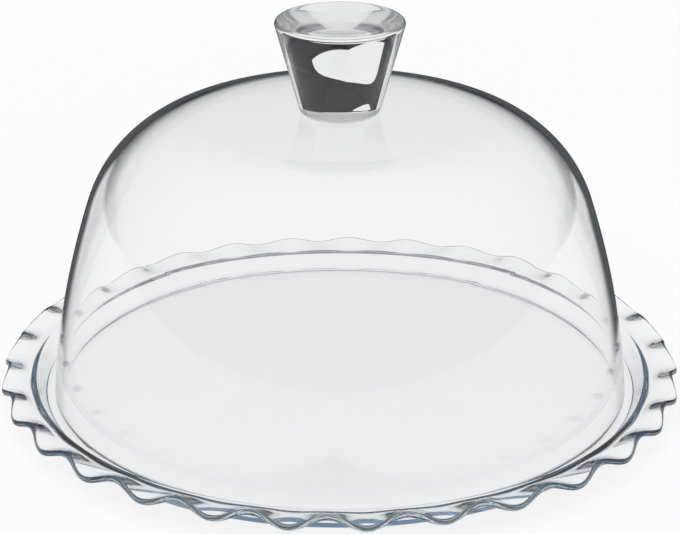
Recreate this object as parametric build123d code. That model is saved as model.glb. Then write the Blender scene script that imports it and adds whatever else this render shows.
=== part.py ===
# Cake dome: clear glass serving plate with a waved rim, clear glass dome and solid glass knob.
# Millimetres. Z is up, Z = 0 is the table, and the Z axis runs through the plate, dome and knob.
# One ridge of the plate's waved rim faces -Y.
import math
import os

from build123d import *

# Serving plate, pressed glass
petal_count = 30
well_floor_diameter = 276.6
well_depth = 7.5
floor_thickness = 4.0
wall_slope = 54.8
wall_thickness = 3.5
flange_thickness = 3.0
flange_land = 1.2
petal_reach = 12.5
ridge_lift = 4.4
ridge_setback = 3.0
rim_round = 1.3
well_corner_round = 2.5
well_edge_round = 2.0
foot_round = 2.0
underside_round = 1.5
foot_ring_width = 7.0
foot_recess_depth = 0.8

# Dome, blown glass with a flared side, a round shoulder and a nearly flat crown
dome_play = 2.1
dome_height = 132.7
dome_wall = 3.5
dome_flare = 5.0
side_radius = 390.0
shoulder_radius = 60.0
crown_radius = 1500.0
dome_lip_round = 1.1
seat_margin = 2.5

# Clear bond under the knob
bond_thickness = 0.3
bond_inset = 0.6

# Knob, solid glass, a tapered plug with a dished top
knob_height = 43.5
knob_base_diameter = 36.0
knob_taper = 15.5
knob_base_round = 3.0
knob_rim_round = 2.0
knob_dish_margin = 4.5
knob_dish_depth = 1.6


def on_circle(middle, radius, angle):
    return (middle[0] + radius * math.cos(angle), middle[1] + radius * math.sin(angle))


def arc(middle, radius, start, end):
    return ThreePointArc(
        on_circle(middle, radius, start),
        on_circle(middle, radius, (start + end) / 2),
        on_circle(middle, radius, end),
    )


def meeting(first, first_reach, second, second_reach):
    # The point at these reaches from two points, on the right of the way from the first to the second
    way_x = second[0] - first[0]
    way_y = second[1] - first[1]
    way = math.hypot(way_x, way_y)
    along = (first_reach**2 - second_reach**2 + way**2) / (2 * way)
    across = math.sqrt(first_reach**2 - along**2)
    return (
        first[0] + (along * way_x + across * way_y) / way,
        first[1] + (along * way_y - across * way_x) / way,
    )


def spun(lines):
    profile = make_face(lines)
    return revolve(Plane.XZ * profile, axis=Axis.Z)


# Heights and radii of the plate, from the floor of the well outward
slope = math.radians(wall_slope)
floor_top = floor_thickness
flange_top = floor_top + well_depth
flange_under = flange_top - flange_thickness
well_floor_radius = well_floor_diameter / 2
well_top_radius = well_floor_radius + well_depth / math.tan(slope)
wall_run = wall_thickness / math.sin(slope)
foot_radius = well_floor_radius - floor_thickness / math.tan(slope) + wall_run
underside_radius = foot_radius + flange_under / math.tan(slope)
recess_radius = foot_radius - foot_ring_width
wave_start_radius = underside_radius + flange_land
plate_radius = wave_start_radius + petal_reach

# One petal of the flange, with its middle on +X: its edge is level there and rises to a ridge at both ends
half_petal = math.pi / petal_count
edge_points = []
edge_steps = 8
for number in range(edge_steps + 1):
    angle = half_petal * (2 * number / edge_steps - 1)
    ridge = (1 - math.cos(petal_count * angle)) / 2
    x, y = on_circle((0, 0), plate_radius - ridge_setback * ridge, angle)
    edge_points.append((x, y, flange_under + ridge_lift * ridge))
petal_edge = Spline(*edge_points)
petal_start = Pos(0, 0, flange_under) * CenterArc(
    (0, 0), wave_start_radius, -180 / petal_count, 360 / petal_count
)
petal_face = Face.make_surface_from_curves(petal_start.edge(), petal_edge.edge())
petal = extrude(petal_face, amount=flange_thickness, dir=(0, 0, 1))
rim_edges = petal.edges().group_by(Axis.X)[-1]
petal = fillet(rim_edges, rim_round)

# The petals side by side in a closed ring, without the faces between them
ring_faces = []
for place in PolarLocations(0, petal_count, 180 / petal_count - 90):
    for face in petal.faces().sort_by(Axis.Y)[1:-1]:
        ring_faces.append(place * face)
flange = Solid(Shell(ring_faces))

# Serving plate: turned section with the flange round it
plate_section = FilletPolyline(
    (0, foot_recess_depth),
    (recess_radius, foot_recess_depth),
    (recess_radius + foot_recess_depth, 0),
    (foot_radius, 0),
    (underside_radius, flange_under),
    (wave_start_radius, flange_under),
    (wave_start_radius, flange_top),
    (well_top_radius, flange_top),
    (well_floor_radius, floor_top),
    (0, floor_top),
    radius=[
        0,
        0,
        0,
        foot_round,
        underside_round,
        0,
        0,
        well_edge_round,
        well_corner_round,
        0,
    ],
    close=True,
)
serving_plate = spun(plate_section) + flange

# Dome: its foot stands on the floor of the well, clear of the well's round corner
corner_run = well_corner_round * math.tan(slope / 2)
dome_radius = well_floor_radius - corner_run - dome_play
dome_top = floor_top + dome_height
flare = math.radians(dome_flare)
side_middle = on_circle((dome_radius, floor_top), -side_radius, flare)
crown_middle = (0, dome_top - crown_radius)

# The shoulder's middle, where the shoulder is tangent to the crown and to the side
shoulder_middle = meeting(
    crown_middle,
    crown_radius - shoulder_radius,
    side_middle,
    side_radius - shoulder_radius,
)
side_end = math.atan2(shoulder_middle[1] - side_middle[1], shoulder_middle[0] - side_middle[0])
crown_start = math.atan2(shoulder_middle[1] - crown_middle[1], shoulder_middle[0] - crown_middle[0])

# The flat seat of the knob on the crown
knob_base_radius = knob_base_diameter / 2
seat_radius = knob_base_radius + seat_margin
seat_angle = math.acos(seat_radius / crown_radius)
seat_height = crown_middle[1] + crown_radius * math.sin(seat_angle)

inner_side = side_radius - dome_wall
inner_foot = math.asin((floor_top - side_middle[1]) / inner_side)
inner_crown = crown_radius - dome_wall
foot_outer = on_circle(side_middle, side_radius, flare)
foot_inner = on_circle(side_middle, inner_side, inner_foot)
dome_lines = [
    arc(side_middle, side_radius, flare, side_end),
    arc(shoulder_middle, shoulder_radius, side_end, crown_start),
    arc(crown_middle, crown_radius, crown_start, seat_angle),
    Line((seat_radius, seat_height), (0, seat_height)),
    Line((0, seat_height), (0, crown_middle[1] + inner_crown)),
    arc(crown_middle, inner_crown, math.pi / 2, crown_start),
    arc(shoulder_middle, shoulder_radius - dome_wall, crown_start, side_end),
    arc(side_middle, inner_side, side_end, inner_foot),
    Line(foot_inner, foot_outer),
]
dome_shell = spun(dome_lines)
lip_edges = dome_shell.edges().filter_by(GeomType.CIRCLE).group_by(Axis.Z)[0]
dome_shell = fillet(lip_edges, dome_lip_round)

# Bond: a thin disc on the seat, inside the flat of the knob's base
bond_top = seat_height + bond_thickness
base_corner = math.radians(90 + knob_taper)
base_flat_radius = knob_base_radius - knob_base_round / math.tan(base_corner / 2)
bond_radius = base_flat_radius - bond_inset
knob_bond = Pos(0, 0, seat_height) * Cylinder(
    bond_radius, bond_thickness, align=(Align.CENTER, Align.CENTER, Align.MIN)
)

# Knob: tapered plug, wider at the top, with a round rim and a shallow dish
knob_top = bond_top + knob_height
knob_top_radius = knob_base_radius + knob_height * math.tan(math.radians(knob_taper))
dish_radius = knob_top_radius - knob_dish_margin
dish_curve = (dish_radius**2 + knob_dish_depth**2) / (2 * knob_dish_depth)
dish_middle = (0, knob_top - knob_dish_depth + dish_curve)
dish_edge = math.atan2(knob_top - dish_middle[1], dish_radius)
knob_lines = [
    FilletPolyline(
        (0, bond_top),
        (knob_base_radius, bond_top),
        (knob_top_radius, knob_top),
        (dish_radius, knob_top),
        radius=[knob_base_round, knob_rim_round],
    ),
    arc(dish_middle, dish_curve, dish_edge, -math.pi / 2),
    Line((0, knob_top - knob_dish_depth), (0, bond_top)),
]
knob = spun(knob_lines)

os.makedirs("parts", exist_ok=True)
export_step(serving_plate, "parts/serving_plate.step")
export_step(dome_shell, "parts/dome_shell.step")
export_step(knob_bond, "parts/knob_bond.step")
export_step(knob, "parts/knob.step")
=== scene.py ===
# Clear glass cake dome on a clear glass plate with a waved rim: looks, studio and camera.
# Sizes are in millimetres, in the same frame as the solids. Meshes and nodes take them in metres.
import math

import bpy
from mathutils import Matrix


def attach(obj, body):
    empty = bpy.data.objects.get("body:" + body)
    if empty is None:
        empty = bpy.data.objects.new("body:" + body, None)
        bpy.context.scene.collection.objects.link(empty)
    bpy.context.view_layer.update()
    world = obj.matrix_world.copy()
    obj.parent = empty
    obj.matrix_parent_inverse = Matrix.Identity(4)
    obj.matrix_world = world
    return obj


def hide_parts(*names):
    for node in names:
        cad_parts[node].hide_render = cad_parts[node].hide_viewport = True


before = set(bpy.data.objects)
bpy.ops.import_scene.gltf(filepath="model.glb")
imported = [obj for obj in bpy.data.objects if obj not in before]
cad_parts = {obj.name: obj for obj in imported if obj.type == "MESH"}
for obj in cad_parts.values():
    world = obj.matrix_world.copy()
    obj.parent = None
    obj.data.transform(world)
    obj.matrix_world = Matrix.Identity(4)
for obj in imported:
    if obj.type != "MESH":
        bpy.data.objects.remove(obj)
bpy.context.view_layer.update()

# Serving plate, pressed glass
PETALS = 30
WELL_FLOOR_RADIUS = 138.3
WELL_DEPTH = 7.5
FLOOR_THICKNESS = 4.0
WALL_SLOPE = math.radians(54.8)
WALL_THICKNESS = 3.5
FLANGE_THICKNESS = 3.0
FLANGE_LAND = 1.2
PETAL_REACH = 12.5
RIDGE_LIFT = 4.4
RIDGE_SETBACK = 3.0
RIM_ROUND = 1.3
WELL_CORNER_ROUND = 2.5
WELL_EDGE_ROUND = 2.0
FOOT_ROUND = 2.0
UNDERSIDE_ROUND = 1.5
FOOT_RING_WIDTH = 7.0
FOOT_RECESS = 0.8
RECESS_ROUND = 0.25

# Dome, blown glass
DOME_PLAY = 2.1
DOME_HEIGHT = 132.7
DOME_WALL = 3.5
DOME_FLARE = math.radians(5.0)
SIDE_RADIUS = 390.0
SHOULDER_RADIUS = 60.0
CROWN_RADIUS = 1500.0
DOME_LIP_ROUND = 1.1
SEAT_MARGIN = 2.5

# Clear bond and solid knob
BOND_THICKNESS = 0.3
BOND_INSET = 0.6
BOND_WETTING = 0.05
KNOB_HEIGHT = 43.5
KNOB_BASE_RADIUS = 18.0
KNOB_TAPER = math.radians(15.5)
KNOB_BASE_ROUND = 3.0
KNOB_RIM_ROUND = 2.0
KNOB_DISH_MARGIN = 4.5
KNOB_DISH_DEPTH = 1.6

# Mesh: steps round the axis and along each curve, and the narrow face beside a round that keeps shading flat
TURN_STEPS = 256
STEPS_PER_PETAL = 20
FLANGE_STEPS = 6
ROUND_STEPS = 8
SIDE_STEPS = 20
SHOULDER_STEPS = 32
CROWN_STEPS = 12
DISH_STEPS = 16
GUARD = 0.35
MERGE_DISTANCE = 0.001

# Glass: refraction, and the size, contrast and roughness of the patches in its polish
GLASS_INDEX = 1.52
ADHESIVE_INDEX = 1.50
RIPPLE_DETAIL = 1.0
POLISH_PATCH = 18.0
POLISH_DETAIL = 3.0
POLISH_CONTRAST = (0.3, 0.7)
POLISH_ROUGHNESS = 0.012

# Studio levels, where 1 is white: the table through the glass, held a little under white as a painted shade
# for the glass's shadow on it, the tent, the dim room, the mirrored table and the cards. The lit share is how
# much of the paper's white comes from the lamp
SHADE_THROUGH_GLASS = 0.95
TENT = 0.52
DIM = 0.02
MIRRORED_UNDER = 0.9
MIRRORED_ASIDE = 0.85
MIRRORED_BEHIND = 0.04
MIRRORED_AGAIN = 0.3
CARD_LEVEL = 0.88
LIT_SHARE = 0.16

# Floor, just under the plate, and the start and end of each fade on it. The fan's spread is a slope
FLOOR_HALF = 6000.0
FLOOR_DROP = 0.2
TABLE_END = (750.0, 1200.0)
UNDER_END = (155.0, 185.0)
FAN_EDGE = (130.0, 175.0)
FAN_SPREAD = 0.5

# Dim horizon: start and end of its fade upwards, and how far to +Y it starts, as parts of a unit direction
HORIZON_END = (0.07, 0.21)
HORIZON_SPREAD = 0.5

# Counts on a light path past which a ray was mirrored, mirrored again, or went through both walls of the dome
MIRRORED_ONCE = 0.5
MIRRORED_TWICE = 1.5
BOTH_WALLS = 3.5

# Overhead lamp
LAMP_ENERGY = 1.6
LAMP_SPREAD = math.radians(90)
LAMP_TILT = (math.radians(15), math.radians(-10), 0)

# White cards behind the set and beside it
CARD_DISTANCE = 280.0
WINDOW_MIDDLE = -47.0
WINDOW_HALF = 126.0
WINDOW_HEIGHT = 169.5
WINDOW_BELLY = 19.0
WINDOW_BEND = -30.0
WINDOW_TOP_SLOPE = 0.16
WINDOW_BELLY_SLOPE = 0.04
WINDOW_STEPS = 24
CORNER_OUTLINE = ((5.0, 129.0), (-50.0, 133.0), (-158.0, 151.0), (-190.0, 153.0), (-185.0, 131.0))
SIDE_CARD_REACH = 400.0
SIDE_CARD_LOW = 90.0
SIDE_CARD_HIGH = 230.0
SIDE_CARD_START = math.radians(42)
SIDE_CARD_END = math.radians(-10)
SIDE_CARD_STEPS = 13

# Camera, with its focal length in pixels of a picture this wide
PIXELS_WIDE = 680
FOCAL_PIXELS = 2249
SENSOR_WIDTH = 36
CAMERA_DISTANCE = 1050.0
CAMERA_PITCH = math.radians(22.86)
CAMERA_TURN = math.radians(1.85)
LOOK_HEIGHT = 60.2

# Light runs to and fro many times inside the thick rim before it leaves the glass
LIGHT_BOUNCES = 40
MIRROR_BOUNCES = 32


def colour(code):
    """Linear RGBA of an sRGB hex colour."""
    parts = [int(code[i:i + 2], 16) / 255 for i in (1, 3, 5)]
    return [p / 12.92 if p <= 0.04045 else ((p + 0.055) / 1.055) ** 2.4 for p in parts] + [1.0]


def add(tree, kind, links=None, **settings):
    """Adds a node with its settings; links maps an input to a socket or to a plain value."""
    node = tree.nodes.new(kind)
    for name, value in settings.items():
        setattr(node, name, value)
    for name, source in (links or {}).items():
        if isinstance(source, bpy.types.NodeSocket):
            tree.links.new(source, node.inputs[name])
        else:
            node.inputs[name].default_value = source
    return node


def on_circle(middle, radius, angle):
    return (middle[0] + radius * math.cos(angle), middle[1] + radius * math.sin(angle))


def arc(middle, radius, start, end, steps):
    return [on_circle(middle, radius, start + (end - start) * i / steps) for i in range(steps + 1)]


def meeting(first, first_reach, second, second_reach):
    """The point at these reaches from two points, on the right of the way from the first to the second."""
    way_x, way_y = second[0] - first[0], second[1] - first[1]
    way = math.hypot(way_x, way_y)
    along = (first_reach**2 - second_reach**2 + way**2) / (2 * way)
    across = math.sqrt(first_reach**2 - along**2)
    return (
        first[0] + (along * way_x + across * way_y) / way,
        first[1] + (along * way_y - across * way_x) / way,
    )


def rounded(corners, radii):
    """Points along straight runs with rounded corners, with a guard point on each side of a round."""
    path = [corners[0]]
    for before, corner, after, radius in zip(corners, corners[1:], corners[2:], radii):
        ux, uz = before[0] - corner[0], before[1] - corner[1]
        vx, vz = after[0] - corner[0], after[1] - corner[1]
        u, v = math.hypot(ux, uz), math.hypot(vx, vz)
        ux, uz, vx, vz = ux / u, uz / u, vx / v, vz / v
        half = math.acos(ux * vx + uz * vz) / 2
        back = radius / math.tan(half)
        bx, bz = ux + vx, uz + vz
        b = math.hypot(bx, bz)
        reach = radius / math.sin(half)
        middle = (corner[0] + bx / b * reach, corner[1] + bz / b * reach)
        first = (corner[0] + ux * back, corner[1] + uz * back)
        last = (corner[0] + vx * back, corner[1] + vz * back)
        start = math.atan2(first[1] - middle[1], first[0] - middle[0])
        turn = math.atan2(last[1] - middle[1], last[0] - middle[0]) - start
        turn = (turn + math.pi) % (2 * math.pi) - math.pi
        path.append((corner[0] + ux * (back + GUARD), corner[1] + uz * (back + GUARD)))
        path += arc(middle, radius, start, start + turn, ROUND_STEPS)
        path.append((corner[0] + vx * (back + GUARD), corner[1] + vz * (back + GUARD)))
    return path + [corners[-1]]


# Heights and radii that the pieces share
floor_top = FLOOR_THICKNESS
flange_top = floor_top + WELL_DEPTH
flange_under = flange_top - FLANGE_THICKNESS
well_top_radius = WELL_FLOOR_RADIUS + WELL_DEPTH / math.tan(WALL_SLOPE)
wall_run = WALL_THICKNESS / math.sin(WALL_SLOPE)
foot_radius = WELL_FLOOR_RADIUS - FLOOR_THICKNESS / math.tan(WALL_SLOPE) + wall_run
underside_radius = foot_radius + flange_under / math.tan(WALL_SLOPE)
recess_radius = foot_radius - FOOT_RING_WIDTH
wave_start_radius = underside_radius + FLANGE_LAND
plate_radius = wave_start_radius + PETAL_REACH


def plate_section(setback, lift):
    """Half section of the plate, from the axis above to the axis below, its rim drawn in and raised."""
    body = [
        (0, FOOT_RECESS),
        (recess_radius, FOOT_RECESS),
        (recess_radius + FOOT_RECESS, 0),
        (foot_radius, 0),
        (underside_radius, flange_under),
        (wave_start_radius, flange_under),
    ]
    rim = [
        (wave_start_radius, flange_under),
        (plate_radius - setback, flange_under + lift),
        (plate_radius - setback, flange_top + lift),
        (wave_start_radius, flange_top),
    ]
    well = [
        (wave_start_radius, flange_top),
        (well_top_radius, flange_top),
        (WELL_FLOOR_RADIUS, floor_top),
        (0, floor_top),
    ]
    lower = rounded(body, [RECESS_ROUND, RECESS_ROUND, FOOT_ROUND, UNDERSIDE_ROUND])
    edge = rounded(rim, [RIM_ROUND, RIM_ROUND])
    upper = rounded(well, [WELL_EDGE_ROUND, WELL_CORNER_ROUND])
    out, back = [], []
    for i in range(1, FLANGE_STEPS):
        share = i / FLANGE_STEPS
        out.append(tuple(a + (b - a) * share for a, b in zip(edge[0], edge[1])))
        back.append(tuple(a + (b - a) * share for a, b in zip(edge[-2], edge[-1])))
    return (lower + out + edge[1:-1] + back + upper)[::-1]


def dome_section():
    """Half section of the dome's wall, from the axis down the outside, round the lip and up the inside, with
    the height of the knob's seat."""
    corner_run = WELL_CORNER_ROUND * math.tan(WALL_SLOPE / 2)
    radius = WELL_FLOOR_RADIUS - corner_run - DOME_PLAY
    side_middle = on_circle((radius, floor_top), -SIDE_RADIUS, DOME_FLARE)
    crown_middle = (0, floor_top + DOME_HEIGHT - CROWN_RADIUS)
    shoulder_middle = meeting(
        crown_middle, CROWN_RADIUS - SHOULDER_RADIUS, side_middle, SIDE_RADIUS - SHOULDER_RADIUS,
    )
    side_end = math.atan2(shoulder_middle[1] - side_middle[1], shoulder_middle[0] - side_middle[0])
    crown_start = math.atan2(shoulder_middle[1] - crown_middle[1], shoulder_middle[0] - crown_middle[0])
    seat_radius = KNOB_BASE_RADIUS + SEAT_MARGIN
    seat_angle = math.acos(seat_radius / CROWN_RADIUS)
    seat = crown_middle[1] + CROWN_RADIUS * math.sin(seat_angle)
    inner_side = SIDE_RADIUS - DOME_WALL
    inner_shoulder = SHOULDER_RADIUS - DOME_WALL
    inner_crown = CROWN_RADIUS - DOME_WALL
    inner_foot = math.asin((floor_top - side_middle[1]) / inner_side)
    outside = arc(crown_middle, CROWN_RADIUS, seat_angle, crown_start, CROWN_STEPS)
    outside += arc(shoulder_middle, SHOULDER_RADIUS, crown_start, side_end, SHOULDER_STEPS)[1:]
    outside += arc(side_middle, SIDE_RADIUS, side_end, DOME_FLARE, SIDE_STEPS)[1:]
    inside = arc(side_middle, inner_side, inner_foot, side_end, SIDE_STEPS)
    inside += arc(shoulder_middle, inner_shoulder, side_end, crown_start, SHOULDER_STEPS)[1:]
    inside += arc(crown_middle, inner_crown, crown_start, math.pi / 2, CROWN_STEPS)[1:]
    lip = rounded([outside[-2], outside[-1], inside[0], inside[1]], [DOME_LIP_ROUND] * 2)
    return [(0, seat), (seat_radius - GUARD, seat)] + outside[:-1] + lip[1:-1] + inside[1:], seat


def knob_section(base):
    """Half section of the knob, from the axis above to the axis below."""
    top = base + KNOB_HEIGHT
    top_radius = KNOB_BASE_RADIUS + KNOB_HEIGHT * math.tan(KNOB_TAPER)
    dish_radius = top_radius - KNOB_DISH_MARGIN
    dish_curve = (dish_radius**2 + KNOB_DISH_DEPTH**2) / (2 * KNOB_DISH_DEPTH)
    dish_middle = (0, top - KNOB_DISH_DEPTH + dish_curve)
    dish_edge = math.atan2(top - dish_middle[1], dish_radius)
    side = rounded(
        [(0, base), (KNOB_BASE_RADIUS, base), (top_radius, top), (dish_radius, top)],
        [KNOB_BASE_ROUND, KNOB_RIM_ROUND],
    )
    return (side[:-1] + arc(dish_middle, dish_curve, dish_edge, -math.pi / 2, DISH_STEPS))[::-1]


def bond_section(seat):
    """Half section of the bond, from the axis above to the axis below. It wets knob and seat by a hair, so
    that light goes through the joint as through one piece."""
    base_flat = KNOB_BASE_RADIUS - KNOB_BASE_ROUND / math.tan((math.pi / 2 + KNOB_TAPER) / 2)
    radius = base_flat - BOND_INSET
    top = seat + BOND_THICKNESS + BOND_WETTING
    bottom = seat - BOND_WETTING
    return rounded([(0, top), (radius, top), (radius, bottom), (0, bottom)], [BOND_WETTING, BOND_WETTING])


def section_line(name, points, rises=None):
    """A half section as a line of points in metres, with the rise of each point kept on it."""
    places = [(r / 1000, 0, z / 1000) for r, z in points]
    mesh = bpy.data.meshes.new(name)
    mesh.from_pydata(places, [(i, i + 1) for i in range(len(places) - 1)], [])
    if rises:
        layer = mesh.attributes.new("rise", "FLOAT_VECTOR", "POINT")
        layer.data.foreach_set("vector", [v / 1000 for r, z in rises for v in (r, 0, z)])
    obj = bpy.data.objects.new(name, mesh)
    bpy.context.scene.collection.objects.link(obj)
    return obj


def turned_tree():
    """Tree that turns a half section round Z: a grid of section points by turn steps, with closed seam and
    poles. Points with a rise move by it in waves, one wave to a petal, with a crest on -Y."""
    tree = bpy.data.node_groups.new("turned_glass", "GeometryNodeTree")
    for label, kind in (
        ("Geometry", "NodeSocketGeometry"),
        ("Petals", "NodeSocketInt"),
        ("Turn Steps", "NodeSocketInt"),
        ("Glass", "NodeSocketMaterial"),
    ):
        tree.interface.new_socket(label, in_out="INPUT", socket_type=kind)
    tree.interface.new_socket("Geometry", in_out="OUTPUT", socket_type="NodeSocketGeometry")
    given = add(tree, "NodeGroupInput").outputs
    line, steps = given["Geometry"], given["Turn Steps"]

    # Grid with a row to each point of the section, and the angle and wave of each column
    size = add(tree, "GeometryNodeAttributeDomainSize", {"Geometry": line}, component="MESH").outputs
    across = add(tree, "FunctionNodeIntegerMath", {0: steps, 1: 1}, operation="ADD").outputs[0]
    grid = add(
        tree, "GeometryNodeMeshGrid", {"Vertices X": size["Point Count"], "Vertices Y": across},
    ).outputs["Mesh"]
    index = add(tree, "GeometryNodeInputIndex").outputs[0]
    row = add(tree, "FunctionNodeIntegerMath", {0: index, 1: across}, operation="DIVIDE_FLOOR").outputs[0]
    column = add(tree, "FunctionNodeIntegerMath", {0: index, 1: across}, operation="MODULO").outputs[0]
    step = add(tree, "FunctionNodeIntegerMath", {0: column, 1: steps}, operation="MODULO").outputs[0]
    share = add(tree, "ShaderNodeMath", {0: step, 1: steps}, operation="DIVIDE").outputs[0]
    angle = add(tree, "ShaderNodeMath", {0: share, 1: 2 * math.pi}, operation="MULTIPLY").outputs[0]
    from_front = add(tree, "ShaderNodeMath", {0: angle, 1: math.pi / 2}, operation="ADD").outputs[0]
    phase = add(tree, "ShaderNodeMath", {0: from_front, 1: given["Petals"]}, operation="MULTIPLY").outputs[0]
    swing = add(tree, "ShaderNodeMath", {0: phase}, operation="COSINE").outputs[0]
    wave = add(tree, "ShaderNodeMath", {0: swing, 1: 0.5, 2: 0.5}, operation="MULTIPLY_ADD").outputs[0]

    # Each grid point goes to its section point, moved by its rise and turned to its angle
    place = add(tree, "GeometryNodeInputPosition").outputs[0]
    rise = add(
        tree, "GeometryNodeInputNamedAttribute", {"Name": "rise"}, data_type="FLOAT_VECTOR",
    ).outputs[0]
    point = add(
        tree, "GeometryNodeSampleIndex", {"Geometry": line, "Value": place, "Index": row},
        data_type="FLOAT_VECTOR",
    ).outputs[0]
    full = add(
        tree, "GeometryNodeSampleIndex", {"Geometry": line, "Value": rise, "Index": row},
        data_type="FLOAT_VECTOR",
    ).outputs[0]
    part = add(tree, "ShaderNodeVectorMath", {0: full, "Scale": wave}, operation="SCALE").outputs[0]
    waved = add(tree, "ShaderNodeVectorMath", {0: point, 1: part}, operation="ADD").outputs[0]
    turned = add(
        tree, "ShaderNodeVectorRotate", {"Vector": waved, "Angle": angle}, rotation_type="Z_AXIS",
    ).outputs[0]
    moved = add(tree, "GeometryNodeSetPosition", {"Geometry": grid, "Position": turned}).outputs[0]

    # Closed seam and poles, smooth shading and the glass
    merged = add(
        tree, "GeometryNodeMergeByDistance", {"Geometry": moved, "Distance": MERGE_DISTANCE / 1000},
    ).outputs[0]
    smooth = add(
        tree, "GeometryNodeSetShadeSmooth", {"Geometry": merged, "Shade Smooth": True},
    ).outputs[0]
    real = add(tree, "GeometryNodeRealizeInstances", {"Geometry": smooth}).outputs[0]
    finished = add(
        tree, "GeometryNodeSetMaterial", {"Geometry": real, "Material": given["Glass"]},
    ).outputs[0]
    add(tree, "NodeGroupOutput", {"Geometry": finished})
    return tree


def formed(name, line, tree, values):
    """Runs a tree on a section's line and keeps the result as a plain mesh object at the origin."""
    modifier = line.modifiers.new("form", "NODES")
    modifier.node_group = tree
    for item in tree.interface.items_tree:
        if item.in_out == "INPUT" and item.name in values:
            modifier[item.identifier] = values[item.name]
    graph = bpy.context.evaluated_depsgraph_get()
    mesh = bpy.data.meshes.new_from_object(line.evaluated_get(graph))
    line.modifiers.remove(modifier)
    bpy.data.objects.remove(line)
    mesh.name = name
    obj = bpy.data.objects.new(name, mesh)
    bpy.context.scene.collection.objects.link(obj)
    return obj


def new_material(name):
    """An empty material and its node tree."""
    material = bpy.data.materials.new(name)
    material.use_nodes = True
    material.node_tree.nodes.clear()
    return material, material.node_tree


def glass(name, tint, density, index, ripple_size, ripple_depth):
    """Clear polished glass: a faint ripple left by its forming, and a polish that varies a little."""
    material, tree = new_material(name)
    place = add(tree, "ShaderNodeTexCoord").outputs["Object"]
    ripple = add(
        tree, "ShaderNodeTexNoise",
        {"Vector": place, "Scale": 1000 / ripple_size, "Detail": RIPPLE_DETAIL},
    ).outputs[0]
    bump = add(
        tree, "ShaderNodeBump", {"Height": ripple, "Strength": 1.0, "Distance": ripple_depth / 1000},
    ).outputs[0]
    patches = add(
        tree, "ShaderNodeTexNoise",
        {"Vector": place, "Scale": 1000 / POLISH_PATCH, "Detail": POLISH_DETAIL},
    ).outputs[0]
    polish = add(
        tree, "ShaderNodeMapRange",
        {
            "Value": patches, "From Min": POLISH_CONTRAST[0], "From Max": POLISH_CONTRAST[1],
            "To Min": 0.0, "To Max": POLISH_ROUGHNESS,
        },
    ).outputs[0]
    surface = add(
        tree, "ShaderNodeBsdfPrincipled",
        {
            "Base Color": colour("#FFFFFF"), "Roughness": polish, "IOR": index,
            "Transmission Weight": 1.0, "Normal": bump,
        },
    ).outputs[0]
    inside = add(tree, "ShaderNodeVolumeAbsorption", {"Color": colour(tint), "Density": density}).outputs[0]
    add(tree, "ShaderNodeOutputMaterial", {"Surface": surface, "Volume": inside})
    return material


# Pressed in a mould and fire-polished: clear through the floor, blue-grey where light runs along the rim
plate_glass = glass(
    "pressed_soda_lime_glass", tint="#7CC4E4", density=10.0, index=GLASS_INDEX,
    ripple_size=30.0, ripple_depth=0.02,
)
# Blown: nearly without colour, with the long soft ripple of a blown wall
dome_glass = glass(
    "blown_soda_lime_glass", tint="#E4F0F2", density=3.0, index=GLASS_INDEX,
    ripple_size=40.0, ripple_depth=0.02,
)
# Formed solid and fire-polished: it bends the room behind it into a dark block with a bright window
knob_glass = glass(
    "solid_soda_lime_glass", tint="#E4EEF0", density=3.0, index=GLASS_INDEX,
    ripple_size=25.0, ripple_depth=0.008,
)
# Cast between knob and crown and set by light: as clear as the glass, so that the joint hardly shows
bond_clear = glass(
    "clear_light_cured_adhesive", tint="#F4F6F0", density=3.0, index=ADHESIVE_INDEX,
    ripple_size=12.0, ripple_depth=0.004,
)

turned_glass = turned_tree()

petal_section = plate_section(0, 0)
ridge_section = plate_section(RIDGE_SETBACK, RIDGE_LIFT)
rises = [(b[0] - a[0], b[1] - a[1]) for a, b in zip(petal_section, ridge_section)]
plate = formed(
    "plate_glass_body", section_line("plate_section", petal_section, rises), turned_glass,
    {"Petals": PETALS, "Turn Steps": PETALS * STEPS_PER_PETAL, "Glass": plate_glass},
)
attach(plate, "plate")
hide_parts("serving_plate")

wall, seat = dome_section()
dome = formed(
    "dome_glass_body", section_line("dome_section", wall), turned_glass,
    {"Turn Steps": TURN_STEPS, "Glass": dome_glass},
)
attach(dome, "dome")
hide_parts("dome_shell")

knob = formed(
    "knob_glass_body", section_line("knob_section", knob_section(seat + BOND_THICKNESS)), turned_glass,
    {"Turn Steps": TURN_STEPS, "Glass": knob_glass},
)
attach(knob, "dome")
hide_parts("knob")

bond = formed(
    "knob_bond_body", section_line("bond_section", bond_section(seat)), turned_glass,
    {"Turn Steps": TURN_STEPS, "Glass": bond_clear},
)
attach(bond, "dome")
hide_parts("knob_bond")


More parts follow.
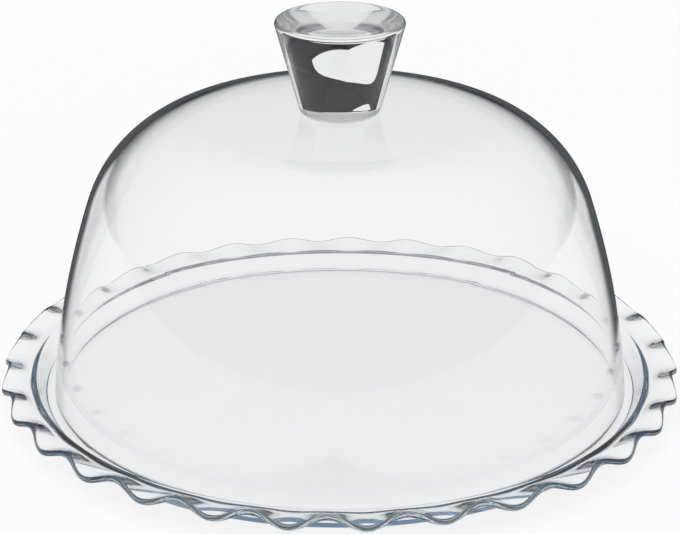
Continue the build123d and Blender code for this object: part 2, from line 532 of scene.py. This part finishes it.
def white_paper():
    """White paper on a round table in a dim room. To the camera it is an even white, with a lit share that
    keeps the shadow of the set. What the glass shows of it depends on how the light got there."""
    material, tree = new_material("white_paper_sweep")
    path = add(tree, "ShaderNodeLightPath").outputs
    place = add(tree, "ShaderNodeTexCoord").outputs["Object"]
    radius = add(tree, "ShaderNodeVectorMath", {0: place}, operation="LENGTH").outputs["Value"]
    axes = add(tree, "ShaderNodeSeparateXYZ", {0: place}).outputs

    # Straight through the knob the table ends in the dim room. Through both walls of the dome it has no end
    # Through the glass the table is held a little under white: a painted shade in place of the glass's shadow
    # on it
    table = add(
        tree, "ShaderNodeMapRange",
        {
            "Value": radius, "From Min": TABLE_END[0] / 1000, "From Max": TABLE_END[1] / 1000,
            "To Min": SHADE_THROUGH_GLASS, "To Max": DIM,
        },
        interpolation_type="SMOOTHSTEP",
    ).outputs[0]
    crossed = add(
        tree, "ShaderNodeMath", {0: path["Transmission Depth"], 1: BOTH_WALLS}, operation="GREATER_THAN",
    ).outputs[0]
    cleared = add(tree, "ShaderNodeMath", {0: crossed, 1: SHADE_THROUGH_GLASS}, operation="MULTIPLY").outputs[0]
    straight = add(tree, "ShaderNodeMath", {0: cleared, 1: table}, operation="MAXIMUM").outputs[0]

    # Mirrored in the glass it is white under the set and aside, and dim in a fan behind it, which gives the
    # dome its dark outline
    under = add(
        tree, "ShaderNodeMapRange",
        {
            "Value": radius, "From Min": UNDER_END[0] / 1000, "From Max": UNDER_END[1] / 1000,
            "To Min": MIRRORED_UNDER, "To Max": DIM,
        },
        interpolation_type="SMOOTHSTEP",
    ).outputs[0]
    sideways = add(tree, "ShaderNodeMath", {0: axes["X"]}, operation="ABSOLUTE").outputs[0]
    fan = add(
        tree, "ShaderNodeMath", {0: axes["Y"], 1: -FAN_SPREAD, 2: sideways}, operation="MULTIPLY_ADD",
    ).outputs[0]
    aside = add(
        tree, "ShaderNodeMapRange",
        {
            "Value": fan, "From Min": FAN_EDGE[0] / 1000, "From Max": FAN_EDGE[1] / 1000,
            "To Min": MIRRORED_BEHIND, "To Max": MIRRORED_ASIDE,
        },
        interpolation_type="SMOOTHSTEP",
    ).outputs[0]
    once = add(tree, "ShaderNodeMath", {0: aside, 1: under}, operation="MAXIMUM").outputs[0]

    # Mirrored again and again, as along the rim, it is a cool grey
    mirrored = add(
        tree, "ShaderNodeMath", {0: path["Glossy Depth"], 1: MIRRORED_ONCE}, operation="GREATER_THAN",
    ).outputs[0]
    often = add(
        tree, "ShaderNodeMath", {0: path["Glossy Depth"], 1: MIRRORED_TWICE}, operation="GREATER_THAN",
    ).outputs[0]
    edges = add(tree, "ShaderNodeMix", {0: often, 2: once, 3: MIRRORED_AGAIN}, data_type="FLOAT").outputs[0]
    shown = add(tree, "ShaderNodeMix", {0: mirrored, 2: straight, 3: edges}, data_type="FLOAT").outputs[0]
    level = add(
        tree, "ShaderNodeMath", {0: shown, 1: path["Is Camera Ray"]}, operation="MAXIMUM",
    ).outputs[0]
    hue = add(
        tree, "ShaderNodeMix", {0: often, 6: colour("#FFFFFF"), 7: colour("#DDEDF8")}, data_type="RGBA",
    ).outputs[2]
    glow = add(tree, "ShaderNodeEmission", {"Color": hue, "Strength": level}).outputs[0]

    # The lit share, for the camera alone
    through = add(
        tree, "ShaderNodeMath", {0: path["Is Glossy Ray"], 1: path["Is Transmission Ray"]},
        operation="MAXIMUM",
    ).outputs[0]
    seen = add(
        tree, "ShaderNodeMath", {0: through, 1: path["Is Camera Ray"]}, operation="MAXIMUM",
    ).outputs[0]
    share = add(
        tree, "ShaderNodeMath", {0: path["Is Camera Ray"], 1: -LIT_SHARE, 2: seen}, operation="MULTIPLY_ADD",
    ).outputs[0]
    lit = add(tree, "ShaderNodeBsdfDiffuse", {"Color": colour("#F2F2F2")}).outputs[0]
    mix = add(tree, "ShaderNodeMixShader", {0: share, 1: lit, 2: glow}).outputs[0]
    add(tree, "ShaderNodeOutputMaterial", {"Surface": mix})
    return material


def white_card():
    """Evenly lit white card, which the glass shows straight through and doesn't mirror."""
    material, tree = new_material("white_card")
    path = add(tree, "ShaderNodeLightPath").outputs
    mirrored = add(
        tree, "ShaderNodeMath", {0: path["Glossy Depth"], 1: MIRRORED_ONCE}, operation="GREATER_THAN",
    ).outputs[0]
    glow = add(tree, "ShaderNodeEmission", {"Strength": CARD_LEVEL}).outputs[0]
    clear = add(tree, "ShaderNodeBsdfTransparent").outputs[0]
    mix = add(tree, "ShaderNodeMixShader", {0: mirrored, 1: glow, 2: clear}).outputs[0]
    add(tree, "ShaderNodeOutputMaterial", {"Surface": mix})
    return material


def studio_world():
    """White tent over the table, with a dim horizon behind the set. The camera sees white all round, and
    straight through both walls of the dome a painted shade a little under white."""
    world = bpy.data.worlds.new("studio")
    world.use_nodes = True
    tree = world.node_tree
    tree.nodes.clear()
    path = add(tree, "ShaderNodeLightPath").outputs
    way = add(tree, "ShaderNodeTexCoord").outputs["Generated"]
    axes = add(tree, "ShaderNodeSeparateXYZ", {0: way}).outputs
    aside = add(tree, "ShaderNodeMath", {0: HORIZON_SPREAD, 1: axes["Y"]}, operation="SUBTRACT").outputs[0]
    beyond = add(tree, "ShaderNodeMath", {0: aside, 1: 0.0}, operation="MAXIMUM").outputs[0]
    up = add(tree, "ShaderNodeMath", {0: axes["Z"], 1: beyond}, operation="ADD").outputs[0]
    tent = add(
        tree, "ShaderNodeMapRange",
        {"Value": up, "From Min": HORIZON_END[0], "From Max": HORIZON_END[1], "To Min": DIM, "To Max": TENT},
        interpolation_type="SMOOTHSTEP",
    ).outputs[0]
    mirrored = add(
        tree, "ShaderNodeMath", {0: path["Glossy Depth"], 1: MIRRORED_ONCE}, operation="GREATER_THAN",
    ).outputs[0]
    crossed = add(
        tree, "ShaderNodeMath", {0: path["Transmission Depth"], 1: BOTH_WALLS}, operation="GREATER_THAN",
    ).outputs[0]
    straight = add(tree, "ShaderNodeMath", {0: crossed, 1: mirrored}, operation="SUBTRACT").outputs[0]
    # Straight through both walls the room is held a little under white, the same painted shade as the table
    cleared = add(tree, "ShaderNodeMath", {0: straight, 1: SHADE_THROUGH_GLASS}, operation="MULTIPLY").outputs[0]
    shown = add(tree, "ShaderNodeMath", {0: cleared, 1: tent}, operation="MAXIMUM").outputs[0]
    level = add(
        tree, "ShaderNodeMath", {0: shown, 1: path["Is Camera Ray"]}, operation="MAXIMUM",
    ).outputs[0]
    glow = add(tree, "ShaderNodeBackground", {"Color": colour("#FFFFFF"), "Strength": level}).outputs[0]
    add(tree, "ShaderNodeOutputWorld", {"Surface": glow})
    return world


def staged(name, points, faces, material, to_camera=True):
    """A piece of the studio, not of the object. One that isn't for the camera shows in the glass alone."""
    mesh = bpy.data.meshes.new(name)
    mesh.from_pydata([(x / 1000, y / 1000, z / 1000) for x, y, z in points], [], faces)
    mesh.materials.append(material)
    obj = bpy.data.objects.new(name, mesh)
    obj.visible_camera = to_camera
    bpy.context.scene.collection.objects.link(obj)


def strip_faces(count):
    """Faces between two rows of this many points, one row after the other."""
    return [(i, count + i, count + i + 1, i + 1) for i in range(count - 1)]


# Floor under a white tent
bpy.context.scene.world = studio_world()
floor_points = []
for x, y in ((-1, -1), (1, -1), (1, 1), (-1, 1)):
    floor_points.append((x * FLOOR_HALF, y * FLOOR_HALF, -FLOOR_DROP))
staged("studio_floor", floor_points, [(0, 1, 2, 3)], white_paper())

# One broad overhead lamp, as soft as the tent, which the glass doesn't show as a disc
lamp = bpy.data.lights.new("overhead_softbox", "SUN")
lamp.energy = LAMP_ENERGY
lamp.angle = LAMP_SPREAD
softbox = bpy.data.objects.new("overhead_softbox", lamp)
softbox.rotation_euler = LAMP_TILT
softbox.visible_glossy = False
softbox.visible_transmission = False
bpy.context.scene.collection.objects.link(softbox)

# Cards behind the set, which the solid knob shows as a bright window and a corner below it
card_white = white_card()
top, belly = [], []
for i in range(WINDOW_STEPS + 1):
    turn = math.pi * i / WINDOW_STEPS
    x = WINDOW_MIDDLE + WINDOW_HALF * math.cos(turn)
    past = max(0, WINDOW_BEND - x)
    drop = WINDOW_BELLY * math.sin(turn)
    belly.append((x, CARD_DISTANCE, WINDOW_HEIGHT - drop + WINDOW_BELLY_SLOPE * past))
    top.append((x, CARD_DISTANCE, WINDOW_HEIGHT + WINDOW_TOP_SLOPE * past))
staged("window_card", belly + top, strip_faces(WINDOW_STEPS + 1), card_white, to_camera=False)
corner = [(x, CARD_DISTANCE, z) for x, z in CORNER_OUTLINE]
staged("corner_card", corner, [tuple(range(len(corner)))], card_white, to_camera=False)

# Two curved cards beside the set, which clear the margins of the knob
bow = arc((0, 0), SIDE_CARD_REACH, SIDE_CARD_START, SIDE_CARD_END, SIDE_CARD_STEPS)
for name, side in (("side_card_left", -1), ("side_card_right", 1)):
    low = [(side * x, y, SIDE_CARD_LOW) for x, y in bow]
    high = [(side * x, y, SIDE_CARD_HIGH) for x, y in bow]
    staged(name, low + high, strip_faces(SIDE_CARD_STEPS + 1), card_white, to_camera=False)

# Camera, looking at a point on the axis
lens = bpy.data.cameras.new("camera")
lens.sensor_width = SENSOR_WIDTH
lens.lens = FOCAL_PIXELS / PIXELS_WIDE * SENSOR_WIDTH
camera = bpy.data.objects.new("camera", lens)
bpy.context.scene.collection.objects.link(camera)
level_distance = CAMERA_DISTANCE * math.cos(CAMERA_PITCH)
camera.location = (
    level_distance * math.sin(CAMERA_TURN) / 1000,
    -level_distance * math.cos(CAMERA_TURN) / 1000,
    (LOOK_HEIGHT + CAMERA_DISTANCE * math.sin(CAMERA_PITCH)) / 1000,
)
camera.rotation_euler = (math.pi / 2 - CAMERA_PITCH, 0, CAMERA_TURN)
bpy.context.scene.camera = camera

bpy.context.scene.view_settings.view_transform = "Standard"
bpy.context.scene.cycles.max_bounces = LIGHT_BOUNCES
bpy.context.scene.cycles.glossy_bounces = MIRROR_BOUNCES
bpy.context.scene.cycles.transmission_bounces = LIGHT_BOUNCES
